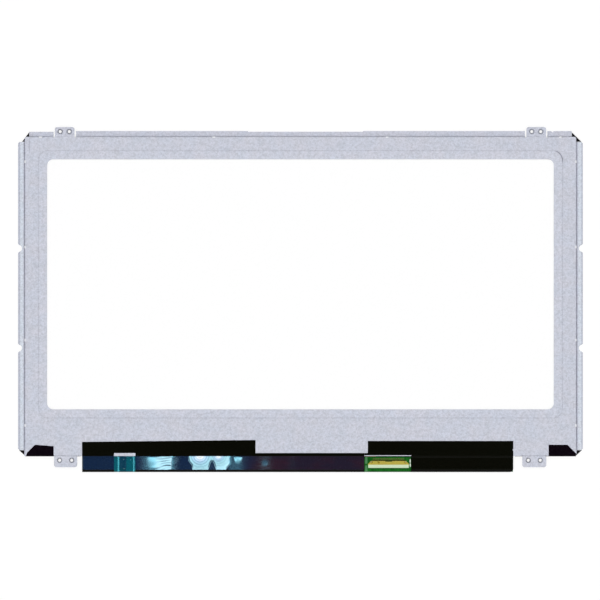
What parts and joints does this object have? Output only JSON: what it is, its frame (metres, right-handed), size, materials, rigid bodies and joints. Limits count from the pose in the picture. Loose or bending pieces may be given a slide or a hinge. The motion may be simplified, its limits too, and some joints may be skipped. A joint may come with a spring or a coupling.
{
  "type": "laptop screen panel",
  "caption": "Flat liquid-crystal screen module seen from its back: folded steel plate with a window, screw tabs, a taped circuit board and a cable socket.",
  "frame": {"origin": "centre of the picture area on the screen face", "axes": "+X along the long edge, +Y towards the top edge of the picture, +Z from the screen to the back"},
  "size_m": [0.3594, 0.2197, 0.0037],
  "materials": {
    "zinc_steel": "zinc-coated sheet with a fine speckle",
    "white_reflector": "matte white reflecting film",
    "white_moulding": "moulded white plastic",
    "black_moulding": "moulded black plastic",
    "black_shield": "satin black film",
    "black_tape": "matte black tape",
    "blue_film": "glossy blue-tinted film",
    "white_tape": "thin double-sided tape",
    "polariser": "anti-glare dark film",
    "cell_glass": "thin display glass",
    "optical_film": "finely grooved clear film",
    "diffuser": "milky film",
    "clear_acrylic": "polished clear acrylic",
    "flexible_circuit": "dark flexible circuit",
    "white_led": "white package with a phosphor face",
    "green_board": "green solder mask",
    "chip_black": "moulded black resin",
    "chip_ceramic": "tan ceramic",
    "ferrite": "dark grey ferrite",
    "ivory_plastic": "pale heat-resistant plastic",
    "gold_plate": "gold-coloured plating",
    "driver_film": "amber polyimide"
  },
  "bodies": {
    "root": {"array_glass": "cell_glass", "backlight_frame": "white_moulding", "board_capacitors": "chip_ceramic", "board_film": "blue_film", "board_fuse": "chip_ceramic", "board_inductors": "ferrite", "board_resistors": "chip_black", "colour_filter_glass": "cell_glass", "control_board": "green_board", "corner_shield_left": "black_shield", "corner_shield_right": "black_shield", "diffuser_sheet": "diffuser", "driver_chip_1": "chip_black", "driver_chip_2": "chip_black", "driver_chip_3": "chip_black", "driver_chip_4": "chip_black", "driver_film_1": "driver_film", "driver_film_2": "driver_film", "driver_film_3": "driver_film", "driver_film_4": "driver_film", "front_cover_tape": "black_tape", "front_polariser": "polariser", "led_driver_chip": "chip_black", "led_strip_flex": "flexible_circuit", "led_strip_tape": "white_tape", "leds": "white_led", "left_cover_tape": "black_tape", "light_guide": "clear_acrylic", "lower_prism_sheet": "optical_film", "memory_chip": "chip_black", "panel_guide": "black_moulding", "power_converter": "chip_black", "rear_plate": "zinc_steel", "rear_polariser": "polariser", "reflector_sheet": "white_reflector", "right_cover_tape": "black_tape", "rim_tape": "black_tape", "signal_socket_contacts": "gold_plate", "signal_socket_housing": "ivory_plastic", "signal_socket_shell": "gold_plate", "timing_controller": "chip_black", "upper_prism_sheet": "optical_film"}
  },
  "joints": []
}
